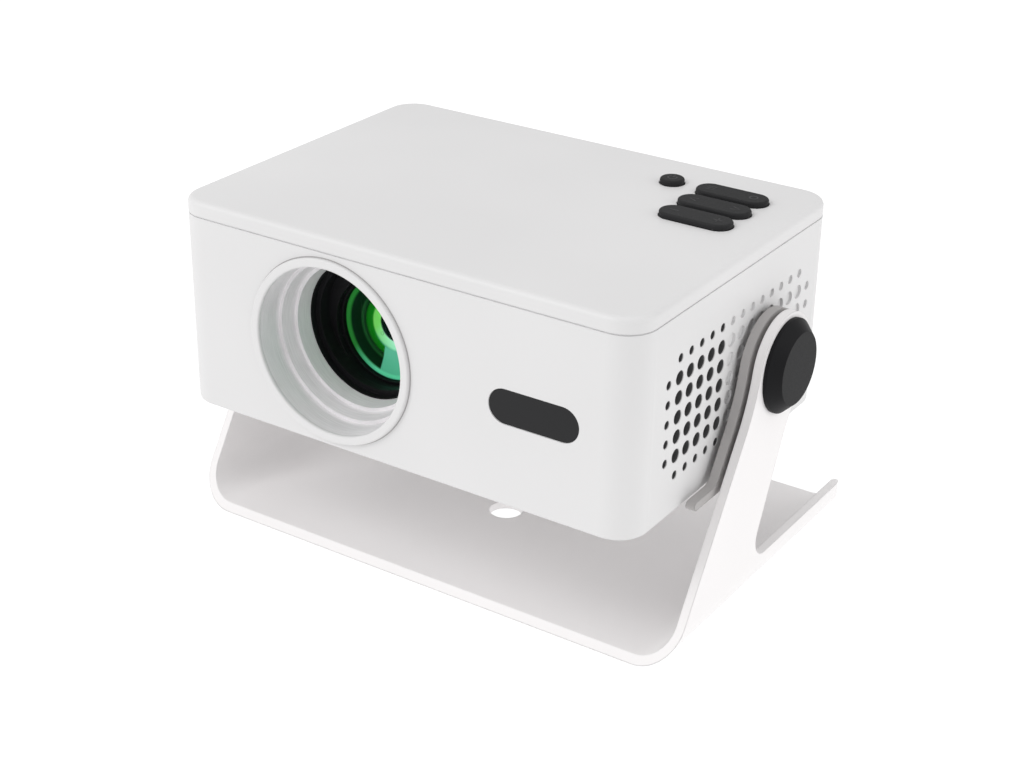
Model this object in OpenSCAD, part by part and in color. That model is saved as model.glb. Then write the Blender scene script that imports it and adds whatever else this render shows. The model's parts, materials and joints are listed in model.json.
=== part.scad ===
// Home projector on a U-shaped tilting stand.
// Frame: X to the viewer's right, Y towards the back, Z up.
// The origin is on the table, under the middle of the whole object.

/* [Projector body] */
// Width of the body
body_w = 190; // [188:1:192]
// Depth of the body, front face to back face
body_d = 138.4; // [137:0.2:140]
// Height of the body with its lid
body_h = 79.2; // [79:0.1:80]
// Radius of the four upright corners
corner_r = 11.4; // [10:0.2:13]
// Wall thickness of the casing
wall_t = 2.5; // [2.4:0.1:2.8]
// Height of the lid's visible rim
lid_rim_h = 5.5; // [5:0.1:6]
// Edge radius round the top of the lid
lid_edge_r = 2.2; // [1.5:0.1:2.8]

/* [Stand] */
// Outer width of the bent stand
stand_w = 211; // [210.8:0.1:211.4]
// Depth of the stand's base, front to back
base_d = 139.1; // [138:0.1:140]
// Thickness of the stand's sheet
sheet_t = 3.2; // [3.1:0.1:3.3]
// Inner radius of the two long bends
bend_r = 11.8; // [11:0.2:12.6]
// Height of the upturned edge behind the arms, above the underside
lip_h = 16.5; // [15.6:0.1:17.5]
// Radius of the base's two back corners, seen from above
base_corner_r = 12; // [10:0.5:13]
// Radius of the arm's round head
arm_head_r = 19; // [18:0.5:20]
// Diameter of the hole in the base
base_hole_d = 13; // [11:0.5:15]
// Gap between the base's underside and the body
ride_h = 53.6; // [53:0.1:55]
// Thickness of the pads under the base
pad_t = 1; // [0.8:0.1:1.5]

/* [Tilt pivot] */
// Distance of the pivot behind the body's front face
pivot_back = 85.1; // [84.5:0.1:85.5]
// Height of the pivot above the body's underside
pivot_up = 35.4; // [35:0.1:36]
// Diameter of the pivot bolts' plain shank
pivot_d = 8; // [7.8:0.1:8.2]
// Diameter of the pivot caps at the arm
cap_d = 34.2; // [33:0.2:36]
// Diameter of the caps' flat face
cap_face_d = 26.4; // [24:0.2:27]
// Height of the caps over the arm
cap_h = 5.4; // [5.2:0.1:6]

/* [Lens] */
// Distance of the lens axis to the left of the middle
lens_left = 26.6; // [25:0.2:28]
// Height of the lens axis above the body's underside
lens_up = 36.9; // [36:0.1:38]
// Outer diameter of the ring round the lens opening
bezel_d = 68.8; // [68:0.2:70]
// How far that ring stands proud of the front face
bezel_proud = 1.5; // [1:0.1:2]
// Focus travel each way from the middle
focus_travel = 3; // [2:0.5:3]

/* [Top keys] */
// Length of the three long keys
key_l = 28; // [27:0.5:29]
// Width of the three long keys
key_w = 10.4; // [10:0.1:11]
// Diameter of the round key
round_key_d = 9; // [8.6:0.1:9.4]
// Height of the keys over the lid
key_proud = 2; // [1.6:0.1:2.4]
// Spacing of the long keys, front to back
key_pitch = 13.35; // [13.2:0.05:13.6]

/* [Side perforations] */
// Spacing of the perforations
hole_pitch = 7.12; // [7:0.02:7.2]
// Diameter of the large perforations
hole_d = 5; // [4.4:0.1:5]
// Diameter of the small perforations round the edge of the field
small_hole_d = 3.15; // [2.6:0.1:3.2]

/* [Hidden] */
$fn = 64;

// Overall places
base_ahead_of_pivot = 72.2;
total_depth = bezel_proud + pivot_back + base_d - base_ahead_of_pivot;
body_front = -total_depth / 2 + bezel_proud;
body_back = body_front + body_d;
body_mid = (body_front + body_back) / 2;
body_z = pad_t + ride_h;
body_top = body_z + body_h;
pivot_y = body_front + pivot_back;
pivot_z = body_z + pivot_up;
base_front = pivot_y - base_ahead_of_pivot;
base_back = base_front + base_d;
// The tripod thread sits right over the base's hole, so its screw passes through there
base_hole_y = (base_front + base_back) / 2 - 11;
lens_x = -lens_left;
lens_z = body_z + lens_up;

// Casing
in_w = body_w - 2 * wall_t;
in_d = body_d - 2 * wall_t;
in_r = corner_r - wall_t;
seam_z = body_top - lid_rim_h;
seam_gap = 0.4;
lid_t = 2.6;
lid_under = body_top - lid_t;
floor_t = 2.2;
floor_z = body_z + floor_t;
foot_edge_r = 1.2;
post_r = 4;
post_in = 11;
pivot_boss_r = 8;
pivot_boss_l = 9;

// Rear panel window
rear_w = 168;
rear_h = 50;
rear_mid_z = body_z + 37;
rear_r = 4;
rear_t = 2;
rear_recess = 1.2;

// Receiver window
ir_recess = 0.3;

// Perforated field
hole_cols = 15;
hole_rows = 7;
open_cols = 6;
hole_first_y = body_front + 20.9;
hole_top_z = body_z + 57.3;
dimple_depth = 0.9;
hole_keepout = 13.5;

// Tilt pivot, measured outwards from the body's side
side_x = body_w / 2;
washer_gap = 0.3;
plate_in = side_x + 2.2;
plate_t = 3.4;
plate_out = plate_in + plate_t;
arm_out = stand_w / 2;
arm_in = arm_out - sheet_t;
fit = 0.05;
bore_r = pivot_d / 2 + fit;
plate_foot_down = 35.8;
plate_screw_at = [21, 32];
arm_lean_front = 32.5;
arm_lean_back = 24.6;
front_edge_gap = 13.7;
back_edge_gap = 14.7;
plate_lean = 29;
bolt_head_r = 7.5;
bolt_head_t = 2.6;
spring_t = 0.8;
cap_wall = 1;

// Lens group, measured inwards from the front face; the lens sits lower than its ring
lens_drop = 4;
step_r = [31.1, 29.5, 26.9];
step_back_r = [30.7, 28.1, 26.1];
step_end = [9.8, 15.5, 21.8];
hood_front_r = 25.6;
hood_step_r = 23.8;
hood_step_at = 24.5;
baffle_at = 30;
hood_r = 20.8;
hood_end = 62;
barrel_r = hood_r - 0.08;
barrel_in_r = 18.4;
glass_r = 19.8;
glass_at = 33;
glass_edge = 4;
glass_seat = 41;
barrel_end = 78;
rod_offset = 31;
rod_r = 1.5;
tab_t = 5;
tab_at = barrel_end - tab_t;

// Light engine, measured inwards from the front face
engine_w = 70;
engine_h = 60;
engine_at = 86;
engine_end = 117;
motor_r = 6;

// Keys
keys_x = 66.5;
keys_mid_y = body_mid + 31.2;
round_key_x = 41.3;
round_key_y = body_mid + 46;
key_gap = 0.3;
key_flange = 0.8;
key_flange_t = 1.2;
key_drop = 1.1;
stem_r = 1.6;
stem_l = 2.5;
stem_at = 9;
switch_gap = 0.9;
switch_w = 6;
switch_h = 3.4;
button_r = 1.5;
button_h = 1;
key_under = lid_under - key_drop - key_flange_t;
stem_end = key_under - stem_l;
board_t = 1.6;
key_board_z = stem_end - switch_gap - button_h - switch_h - board_t;

// Boards and sockets
main_board_z = floor_z + 11;
main_board_top = main_board_z + board_t;
socket_face = body_back - rear_recess - 0.2;

// Fan
fan_size = 46;
fan_t = 12;
fan_y = hole_first_y + 2.5 * hole_pitch;
fan_z = hole_top_z - 3 * hole_pitch;
fan_x = side_x - wall_t - 1.4 - fan_t;
fan_bore_r = 21.4;
blade_r = 20.4;
hub_r = 9;
blade_count = 7;

// Speaker
speaker_x = -77;
speaker_y = pivot_y + 15;
cone_r = 8.8;

// ---------- shared shapes ----------

// Rectangle with round corners, centred
module round_rect(w, d, r) {
    square([w, d - 2 * r], center = true);
    square([w - 2 * r, d], center = true);
    for (x = [-1, 1], y = [-1, 1])
        translate([x * (w / 2 - r), y * (d / 2 - r)])
            circle(r);
}

// Half-height outline with a rounded upper edge, from the middle to half_w
module edge_profile(half_w, h, e) {
    square([half_w, h - e]);
    square([half_w - e, h]);
    translate([half_w - e, h - e])
        circle(e);
}

// Slab with round upright corners and a rounded top edge
module soft_slab(w, d, h, r, e) {
    for (x = [-1, 1], y = [-1, 1])
        translate([x * (w / 2 - r), y * (d / 2 - r), 0])
            rotate_extrude()
                edge_profile(r, h, e);
    rotate([90, 0, 0])
        linear_extrude(d - 2 * r, center = true)
            for (s = [0, 1])
                mirror([s, 0])
                    edge_profile(w / 2, h, e);
    rotate([90, 0, 90])
        linear_extrude(w - 2 * r, center = true)
            for (s = [0, 1])
                mirror([s, 0])
                    edge_profile(d / 2, h, e);
}

// Upright plate cut to a round rectangle
module slab(w, d, h, r) {
    linear_extrude(h)
        round_rect(w, d, r);
}

// Places a child that was drawn along +Z on the axis of the lens ring, depth d behind the front face
module on_ring_axis(d = 0) {
    translate([lens_x, body_front + d, lens_z])
        rotate([-90, 0, 0])
            children();
}

// The same on the axis of the lens itself
module on_lens_axis(d = 0) {
    translate([0, 0, -lens_drop])
        on_ring_axis(d)
            children();
}

// Places a child that was drawn along +Z on the pivot axis of one side, at x from the middle
module on_pivot(side, x) {
    translate([side * x, pivot_y, pivot_z])
        rotate([0, side * 90, 0])
            children();
}

// Ring between two radii
module ring(r_out, r_in, h) {
    difference() {
        cylinder(h = h, r = r_out);
        translate([0, 0, -1])
            cylinder(h = h + 2, r = r_in);
    }
}

// Pan-head screw pointing up, its head below z = 0
module screw(shank_r, shank_l, head_r, head_h) {
    translate([0, 0, -head_h]) {
        cylinder(h = shank_l + head_h, r = shank_r);
        cylinder(h = head_h, r = head_r);
    }
}

// ---------- stand ----------

// Turns a point of an arm edge's own frame, Y along the edge, into X = back, Y = up
function leant(p, lean) = [p[0] * cos(lean) + p[1] * sin(lean), p[1] * cos(lean) - p[0] * sin(lean)];

// Concave fillet that leads an edge at distance gap from the pivot into the round head
function neck_arc(side, gap, lean) =
    let (
        r = 60,
        steps = 10,
        sweep = acos((gap + r) / (arm_head_r + r)),
        reach = (arm_head_r + r) * sin(sweep)
    )
    [for (i = [0 : steps])
        let (t = sweep * i / steps)
        leant([side * (gap + r - r * cos(t)), r * sin(t) - reach], lean)];

// Points round the head, clockwise from angle a to angle b
function head_arc(a, b) =
    let (steps = 72)
    [for (i = [1 : steps - 1])
        let (t = a + (b - a) * i / steps)
        arm_head_r * [cos(t), sin(t)]];

// Where an arm's straight edge is at a height above the pivot
function edge_point(side, gap, lean, up) = [side * gap / cos(lean) + up * tan(lean), up];

// The arm's edge from the front, over the head, to the back, about the pivot: X = back, Y = up
function arm_path() =
    let (
        front = neck_arc(-1, front_edge_gap, arm_lean_front),
        back = neck_arc(1, back_edge_gap, arm_lean_back),
        last = front[len(front) - 1],
        first = back[len(back) - 1],
        a = atan2(last[1], last[0]),
        b = atan2(first[1], first[0])
    )
    concat(
        front,
        head_arc(a < 0 ? a + 360 : a, b),
        [for (i = [len(back) - 1 : -1 : 0]) back[i]]
    );

// Side outline of one arm alone, ending at height foot
module arm_outline(foot) {
    polygon(concat(
        [edge_point(-1, front_edge_gap, arm_lean_front, foot)],
        arm_path(),
        [edge_point(1, back_edge_gap, arm_lean_back, foot)]
    ));
}

// U-shaped section of the stand, drawn as X = right, Y = up from the underside
module u_section() {
    tall = pivot_z + arm_head_r + 2;
    outer_r = bend_r + sheet_t;
    difference() {
        union() {
            translate([-stand_w / 2 + outer_r, 0])
                square([stand_w - 2 * outer_r, outer_r]);
            translate([-stand_w / 2, outer_r])
                square([stand_w, tall - outer_r]);
            for (s = [-1, 1])
                translate([s * (stand_w / 2 - outer_r), outer_r])
                    circle(outer_r);
        }
        translate([-stand_w / 2 + outer_r, sheet_t])
            square([stand_w - 2 * outer_r, tall]);
        translate([-stand_w / 2 + sheet_t, outer_r])
            square([stand_w - 2 * sheet_t, tall]);
        for (s = [-1, 1])
            translate([s * (stand_w / 2 - outer_r), outer_r])
                circle(bend_r);
    }
}

// Fillet where the arm's rear edge runs into the upturned edge, from the arm down
function lip_fillet() =
    let (
        r = 8,
        steps = 8,
        sweep = 90 + arm_lean_back,
        corner = edge_point(1, back_edge_gap, arm_lean_back, pad_t + lip_h - pivot_z),
        reach = r / tan((180 - sweep) / 2),
        centre = corner + [reach, r]
    )
    [for (i = [steps : -1 : 0]) centre - r * [sin(sweep * i / steps), cos(sweep * i / steps)]];

// Side outline of the whole stand, about the pivot: base, upturned edge and arm in one loop
module stand_outline() {
    low = pad_t - pivot_z;
    top = low + lip_h;
    front = base_front - pivot_y;
    back = base_back - pivot_y;
    lip_r = 10;
    polygon(concat(
        [[front, low]],
        arm_path(),
        lip_fillet(),
        [for (i = [0 : 9]) [back - lip_r, top - lip_r] + lip_r * [sin(10 * i), cos(10 * i)]],
        [[back, low]]
    ));
}

// Outline of the stand from above, which rounds the base's two back corners
module stand_plan() {
    r = base_corner_r;
    side = stand_w / 2;
    steps = 9;
    right = concat(
        [[side + 1, base_front - 1], [side + 1, base_back - r]],
        [for (i = [0 : steps]) [side - r, base_back - r] + r * [cos(90 * i / steps), sin(90 * i / steps)]],
        [[side - r, base_back + 1]]
    );
    left = [for (i = [len(right) - 1 : -1 : 0]) [-right[i][0], right[i][1]]];
    polygon(concat(right, left));
}

module stand_bracket() {
    color("white")
        difference() {
            intersection() {
                translate([0, base_back, pad_t])
                    rotate([90, 0, 0])
                        linear_extrude(base_d)
                            u_section();
                rotate([90, 0, 90])
                    linear_extrude(stand_w + 2, center = true)
                        translate([pivot_y, pivot_z])
                            stand_outline();
                linear_extrude(pivot_z + arm_head_r + 1)
                    stand_plan();
            }
            translate([0, base_hole_y, -1])
                cylinder(h = sheet_t + 4, d = base_hole_d);
            for (s = [-1, 1])
                on_pivot(s, arm_in - 1)
                    cylinder(h = sheet_t + 2, r = bore_r);
            arm_screw_places()
                translate([0, 0, arm_in - 1])
                    cylinder(h = 3.2, r = 1.25);
        }
}

// The two places of one arm plate's screws, drawn outwards along +Z from the middle plane
module screw_places_on(s) {
    for (d = plate_screw_at)
        translate([0, pivot_y - d * sin(plate_lean), pivot_z - d * cos(plate_lean)])
            rotate([0, s * 90, 0])
                children();
}

module arm_screw_places() {
    for (s = [-1, 1])
        screw_places_on(s)
            children();
}

// Side outline of an arm plate about the pivot: the arm's upper part, ending in a short toe
module plate_outline() {
    toe_h = 3.2;
    toe_front = 52;
    steps = 8;
    heel_r = 5;
    sweep = 90 - arm_lean_front;
    corner = edge_point(-1, front_edge_gap, arm_lean_front, toe_h - plate_foot_down);
    centre = corner + heel_r * [-1 / tan((180 - sweep) / 2), 1];
    intersection() {
        arm_outline(-plate_foot_down);
        translate([-60, toe_h / 2 - plate_foot_down])
            square([80, 80]);
    }
    // curve from the plate's front edge into the toe
    polygon(concat(
        [corner + [2, -1]],
        [for (i = [0 : steps]) centre + heel_r * [sin(sweep * i / steps), -cos(sweep * i / steps)]]
    ));
    for (y = [-toe_front + toe_h / 2, -plate_foot_down * tan(plate_lean) + 10])
        translate([y, toe_h / 2 - plate_foot_down])
            circle(toe_h / 2);
    translate([-toe_front + toe_h / 2, -plate_foot_down])
        square([toe_front - toe_h / 2 - plate_foot_down * tan(plate_lean) + 10, toe_h]);
}

// Plate on the inside of each arm, from the pivot down to just under the body
module arm_plate(s) {
    color("whitesmoke")
        difference() {
            union() {
                translate([s * (plate_in + plate_t / 2), pivot_y, pivot_z])
                    rotate([90, 0, 90])
                        linear_extrude(plate_t, center = true)
                            plate_outline();
                on_pivot(s, plate_out - 0.01)
                    cylinder(h = arm_in - plate_out + 0.01, r = 10);
                screw_places_on(s)
                    translate([0, 0, plate_out - 0.01])
                        cylinder(h = arm_in - plate_out + 0.01, r = 4);
            }
            on_pivot(s, plate_in - 1)
                cylinder(h = 8, r = bore_r);
            screw_places_on(s)
                translate([0, 0, plate_in - 1])
                    cylinder(h = 8, r = 1.5);
            screw_places_on(s)
                translate([0, 0, plate_in - 1])
                    cylinder(h = 2.6, r = 2.9);
        }
}

module arm_plate_left() {
    arm_plate(-1);
}

module arm_plate_right() {
    arm_plate(1);
}

module arm_plate_screws() {
    color("silver")
        arm_screw_places()
            translate([0, 0, plate_in + 1.6])
                screw(1.24, 5.6, 2.75, 1.5);
}

module base_pads() {
    inset = 22;
    color("gainsboro")
        for (s = [-1, 1], y = [base_front + 16, base_back - 16])
            translate([s * (stand_w / 2 - inset), y, 0])
                cylinder(h = pad_t, r = 7);
}

module pivot_caps() {
    color([0.09, 0.09, 0.1])
        for (s = [-1, 1])
            on_pivot(s, arm_out)
                rotate_extrude()
                    difference() {
                        polygon([
                            [0, 0], [cap_d / 2, 0], [cap_d / 2, 1.4],
                            [cap_face_d / 2, cap_h], [0, cap_h]
                        ]);
                        square([bolt_head_r + 1.4, cap_h - cap_wall]);
                    }
}

module spring_washers() {
    color("silver")
        for (s = [-1, 1])
            on_pivot(s, arm_out)
                ring(7, bore_r, spring_t);
}

module friction_washers() {
    color("lightgray")
        for (s = [-1, 1])
            on_pivot(s, side_x + washer_gap)
                ring(12, bore_r, plate_in - side_x - washer_gap);
}

// ---------- tilt pivot on the body ----------

module pivot_bolts() {
    thread_r = 2.5;
    shank_in = side_x - wall_t;
    head_at = arm_out + spring_t + 0.3;
    color("silver")
        for (s = [-1, 1]) {
            on_pivot(s, shank_in - 8)
                cylinder(h = 9, r = thread_r);
            on_pivot(s, shank_in)
                cylinder(h = head_at - shank_in + 0.01, d = pivot_d);
            on_pivot(s, head_at)
                cylinder(h = bolt_head_t, r = bolt_head_r);
        }
}

module pivot_inserts() {
    color("goldenrod")
        for (s = [-1, 1])
            on_pivot(s, side_x - wall_t - 8)
                ring(4.4, 2.52, 8);
}

// ---------- casing ----------

// Every place in the perforated field: open is true for the columns that go right through
module perforations(open) {
    for (c = [0 : hole_cols - 1], r = [0 : hole_rows - 1]) {
        y = hole_first_y + c * hole_pitch;
        z = hole_top_z - r * hole_pitch;
        edge_col = c == 0 || c == hole_cols - 1;
        edge_row = r == 0 || r == hole_rows - 1;
        clear = norm([y - pivot_y, z - pivot_z]) > hole_keepout;
        if (!(edge_col && edge_row) && clear && ((c < open_cols) == open))
            translate([0, y, z])
                rotate([0, 90, 0])
                    cylinder(
                        h = open ? body_w + 2 : 2 * dimple_depth,
                        d = edge_col || edge_row ? small_hole_d : hole_d,
                        center = true, $fn = 24
                    );
    }
}

// Pill shape with round ends, long along X
module pill(l, w) {
    square([l - w, w], center = true);
    for (s = [-1, 1])
        translate([s * (l - w) / 2, 0])
            circle(w / 2);
}

module ir_opening(grow, d) {
    translate([57.2, body_front + d, body_z + 37])
        rotate([90, 0, 0])
            linear_extrude(d + 1)
                pill(34.8 + grow, 12.6 + grow);
}

module main_housing() {
    tub_h = seam_z - body_z;
    groove = 0.3;
    color("white")
        difference() {
            union() {
                difference() {
                    translate([0, body_mid, seam_z])
                        mirror([0, 0, 1])
                            soft_slab(body_w, body_d, tub_h, corner_r, foot_edge_r);
                    translate([0, body_mid, body_z - 1])
                        slab(in_w, in_d, body_h, in_r);
                }
                // ledge that the floor is screwed up against
                translate([0, body_mid, floor_z])
                    difference() {
                        slab(in_w, in_d, 2, in_r);
                        translate([0, 0, -1])
                            slab(in_w - 6, in_d - 6, 4, in_r - 3);
                    }
                // bosses for the pivot inserts
                for (s = [-1, 1])
                    on_pivot(s, side_x - wall_t - pivot_boss_l)
                        cylinder(h = pivot_boss_l + 1, r = pivot_boss_r);
            }
            // shadow line under the lid
            translate([0, body_mid, seam_z - seam_gap])
                difference() {
                    slab(body_w + 2, body_d + 2, 1, corner_r + 1);
                    translate([0, 0, -1])
                        slab(body_w - 2 * groove, body_d - 2 * groove, 3, corner_r - groove);
                }
            on_ring_axis(-1)
                cylinder(h = wall_t + 2, r = 32.5);
            ir_opening(0.3, wall_t + 1);
            perforations(true);
            for (s = [-1, 1])
                translate([s * side_x, 0, 0])
                    perforations(false);
            for (s = [-1, 1]) {
                on_pivot(s, side_x - wall_t - 8)
                    cylinder(h = 8, r = 4.4);
                on_pivot(s, side_x - wall_t - 1)
                    cylinder(h = wall_t + 2, d = pivot_d);
            }
            translate([0, body_back + 1, rear_mid_z])
                rotate([90, 0, 0])
                    slab(rear_w - 4, rear_h - 4, wall_t + 2, rear_r - 2);
            translate([0, body_back + 1, rear_mid_z])
                rotate([90, 0, 0])
                    slab(rear_w, rear_h, 1 + rear_recess + rear_t - 0.8, rear_r);
        }
}

module top_cover() {
    rim_h = lid_rim_h;
    skirt_h = 3;
    skirt_t = 1.4;
    color("white")
        difference() {
            union() {
                difference() {
                    translate([0, body_mid, seam_z])
                        soft_slab(body_w, body_d, rim_h, corner_r, lid_edge_r);
                    translate([0, body_mid, seam_z - 1])
                        slab(in_w, in_d, rim_h - lid_t + 1, in_r);
                }
                // skirt that drops inside the housing
                translate([0, body_mid, seam_z - skirt_h])
                    difference() {
                        slab(in_w - 0.3, in_d - 0.3, skirt_h + lid_under - seam_z + 0.1, in_r - 0.15);
                        translate([0, 0, -1])
                            slab(
                                in_w - 2 * skirt_t, in_d - 2 * skirt_t,
                                skirt_h + lid_under - seam_z + 2, in_r - skirt_t
                            );
                    }
            }
            long_key_places()
                translate([0, 0, lid_under - 1])
                    linear_extrude(lid_t + 2)
                        pill(key_l + 2 * key_gap, key_w + 2 * key_gap);
            translate([round_key_x, round_key_y, lid_under - 1])
                cylinder(h = lid_t + 2, d = round_key_d + 2 * key_gap);
        }
}

// The four corners where posts stand between the floor and the lid
module post_places() {
    for (x = [-1, 1], y = [body_front + post_in, body_back - post_in])
        translate([x * (side_x - post_in), y, 0])
            children();
}

module case_posts() {
    color("white")
        post_places()
            difference() {
                translate([0, 0, floor_z])
                    cylinder(h = lid_under - floor_z, r = post_r);
                translate([0, 0, floor_z - 1])
                    cylinder(h = 17, r = 1.3);
            }
}

module bottom_cover() {
    color("whitesmoke")
        difference() {
            union() {
                translate([0, body_mid, body_z + 0.3])
                    slab(in_w - 0.4, in_d - 0.4, floor_t - 0.3, in_r - 0.2);
                translate([0, base_hole_y, floor_z - 0.01])
                    cylinder(h = 9, r = 8);
                board_post_places()
                    translate([0, 0, floor_z - 0.01])
                        cylinder(h = main_board_z - floor_z + 0.01, r = 2.6);
            }
            post_places()
                translate([0, 0, body_z - 1])
                    cylinder(h = floor_t + 2, r = 1.6);
            post_places()
                translate([0, 0, body_z - 1])
                    cylinder(h = 2, r = 3);
            translate([0, base_hole_y, body_z - 1])
                cylinder(h = 11, r = 5.2);
            // slots under the speaker and the fan
            for (p = [[speaker_x, speaker_y], [-speaker_x, fan_y]], i = [-3 : 3])
                translate([p[0], p[1] + i * 4, body_z - 1])
                    slab(22, 1.8, floor_t + 3, 0.85);
        }
}

module board_post_places() {
    for (x = [18, 74], y = [pivot_y + 4, body_back - 22])
        translate([x, y, 0])
            children();
}

module case_screws() {
    color("dimgray")
        post_places()
            translate([0, 0, body_z + 1])
                screw(1.28, 11, 2.8, 0.7);
}

module tripod_insert() {
    color("goldenrod")
        translate([0, base_hole_y, body_z + 0.3])
            ring(5.2, 3.1, 8.5);
}

module rear_panel() {
    slot_h = 30;
    color("whitesmoke")
        difference() {
            translate([0, body_back - rear_recess, rear_mid_z])
                rotate([90, 0, 0])
                    slab(rear_w - 0.4, rear_h - 0.4, rear_t - 0.8, rear_r - 0.2);
            // air outlet slots behind the heat sink
            for (i = [0 : 13])
                translate([lens_x - 32.5 + i * 5, body_back + 1, rear_mid_z])
                    rotate([90, 0, 0])
                        slab(2.4, slot_h, 6, 1.19);
            translate([power_x, body_back, socket_z(5.5)])
                rotate([90, 0, 0])
                    cylinder(h = 12, r = 4.4, center = true);
            translate([audio_x, body_back, socket_z(3.5)])
                rotate([90, 0, 0])
                    cylinder(h = 12, r = 3.2, center = true);
            translate([video_x, body_back, socket_z(3.4)])
                cube([15.6, 12, 6.4], center = true);
            for (x = data_x)
                translate([x, body_back, socket_z(3.6)])
                    cube([14.2, 12, 7], center = true);
        }
}

// ---------- lens ----------

module lens_bezel() {
    r = bezel_d / 2;
    e = 0.7;
    color("white")
        on_ring_axis()
            rotate_extrude()
                difference() {
                    union() {
                        translate([step_r[0], -bezel_proud + e])
                            square([r - step_r[0], bezel_proud - e]);
                        translate([step_r[0] + e, -bezel_proud])
                            square([r - step_r[0] - 2 * e, bezel_proud]);
                        for (x = [step_r[0] + e, r - e])
                            translate([x, -bezel_proud + e])
                                circle(e, $fn = 32);
                    }
                    translate([0, 0])
                        square([r + 1, 1]);
                }
}

module lens_liner() {
    t = 1;
    a = step_r;
    b = step_back_r;
    z = step_end;
    color("silver")
        on_ring_axis()
            rotate_extrude()
                polygon([
                    [a[0], 0], [b[0], z[0]], [a[1], z[0]], [b[1], z[1]], [a[2], z[1]], [b[2], z[2]],
                    [b[2] + t, z[2]], [a[2] + t, z[1] + t], [b[1] + t, z[1] + t], [a[1] + t, z[0] + t],
                    [b[0] + t, z[0] + t], [a[0] + t, 0]
                ]);
}

// Stepped black cup behind the liner, closed by a baffle that carries the tube for the barrel
module lens_hood() {
    t = 1.6;
    at = step_end[2];
    color([0.05, 0.05, 0.06])
        difference() {
            union() {
                on_ring_axis(at)
                    cylinder(h = baffle_at + t - at, r = step_back_r[2] + 1);
                on_lens_axis(baffle_at)
                    cylinder(h = hood_end - baffle_at, r = hood_r + t);
            }
            on_ring_axis(at - 1)
                cylinder(h = hood_step_at - at + 1, r = hood_front_r);
            on_ring_axis(at - 1)
                cylinder(h = baffle_at - at + 1, r = hood_step_r);
            on_lens_axis(baffle_at - 2)
                cylinder(h = hood_end, r = hood_r);
        }
}

// Section of a lens with two convex faces, its middle plane at Y = 0
module lens_section(r, edge_t, front_r, back_r) {
    intersection() {
        translate([0, -20])
            square([r, 40]);
        translate([0, -edge_t / 2 + sqrt(front_r * front_r - r * r)])
            circle(front_r, $fn = 128);
        translate([0, edge_t / 2 - sqrt(back_r * back_r - r * r)])
            circle(back_r, $fn = 128);
    }
}

module lens_barrel() {
    lip = 1.2;
    front = glass_at - 0.6;
    back_seat = barrel_end - 8;
    color([0.07, 0.07, 0.08])
        difference() {
            union() {
                on_lens_axis()
                    rotate_extrude()
                        polygon([
                            [barrel_r, front], [barrel_r, barrel_end], [barrel_in_r, barrel_end],
                            [barrel_in_r, back_seat], [barrel_in_r - lip, back_seat],
                            [barrel_in_r - lip, glass_seat], [glass_r, glass_seat], [glass_r, front]
                        ]);
                // arm that the focus screw drives and arm on the guide rod
                for (s = [-1, 1])
                    on_lens_axis(tab_at)
                        translate([s * rod_offset, 0, 0])
                            barrel_tab(s);
            }
            for (s = [-1, 1])
                on_lens_axis(tab_at - 1)
                    translate([s * rod_offset, 0, 0])
                        cylinder(h = tab_t + 2, r = rod_r + 0.08);
        }
}

module barrel_tab(s) {
    reach = rod_offset - barrel_r + 1;
    cylinder(h = tab_t, r = 3.4);
    translate([s > 0 ? -reach : 0, -3.4, 0])
        cube([reach, 6.8, tab_t]);
}

module front_lens() {
    color([0.1, 0.5, 0.3])
        on_lens_axis(glass_at + glass_edge / 2)
            rotate_extrude()
                lens_section(glass_r - 0.02, glass_edge, 60, 90);
}

module lens_spacer() {
    at = glass_at + glass_edge + 0.3;
    color([0.05, 0.05, 0.06])
        on_lens_axis(at)
            ring(glass_r - 0.02, glass_r - 1, glass_seat - at);
}

module rear_lens() {
    color([0.6, 0.75, 0.75])
        on_lens_axis(barrel_end - 5)
            rotate_extrude()
                lens_section(barrel_in_r - 0.02, 3, 80, 60);
}

module rear_lens_ring() {
    color([0.05, 0.05, 0.06])
        on_lens_axis(barrel_end - 2.8)
            ring(barrel_in_r - 0.02, barrel_in_r - 1.6, 1.8);
}

module guide_rod() {
    start = tab_at - focus_travel - 4;
    color("silver")
        on_lens_axis(start)
            translate([-rod_offset, 0, 0])
                cylinder(h = engine_at - start, r = rod_r);
}

module focus_screw() {
    start = tab_at - focus_travel - 4;
    color("goldenrod")
        on_lens_axis(start)
            translate([rod_offset, 0, 0])
                cylinder(h = engine_at + 2 - start, r = rod_r);
}

module focus_motor() {
    color("dimgray")
        on_lens_axis(engine_at)
            translate([rod_offset, 0, 0])
                difference() {
                    cylinder(h = 12, r = motor_r);
                    translate([0, 0, -1])
                        cylinder(h = 3.4, r = rod_r + 0.3);
                }
}

// ---------- light engine ----------

module light_box() {
    t = 2;
    aperture_w = 56;
    aperture_h = 38;
    color([0.12, 0.12, 0.13])
        difference() {
            on_lens_axis(engine_at)
                slab(engine_w, engine_h, engine_end - engine_at, 3);
            on_lens_axis(engine_at + 3)
                slab(engine_w - 2 * t, engine_h - 2 * t, engine_end - engine_at - 5, 2);
            on_lens_axis(engine_at - 1)
                slab(aperture_w, aperture_h, 6, 2);
            on_lens_axis(engine_end - 4)
                cylinder(h = 6, r = 16);
            // pocket that clears the focus motor
            on_lens_axis(engine_at - 1)
                translate([rod_offset, 0, 0])
                    cylinder(h = 14, r = motor_r + 0.02);
            on_lens_axis(engine_at - 1)
                translate([-rod_offset, 0, 0])
                    cylinder(h = 5, r = rod_r + 0.02);
        }
}

module engine_plate(at, w, h, t) {
    on_lens_axis(at)
        slab(w, h, t, 1);
}

module lcd_panel() {
    color("darkslategray")
        engine_plate(engine_at - 3, 50, 44, 3);
}

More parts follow.
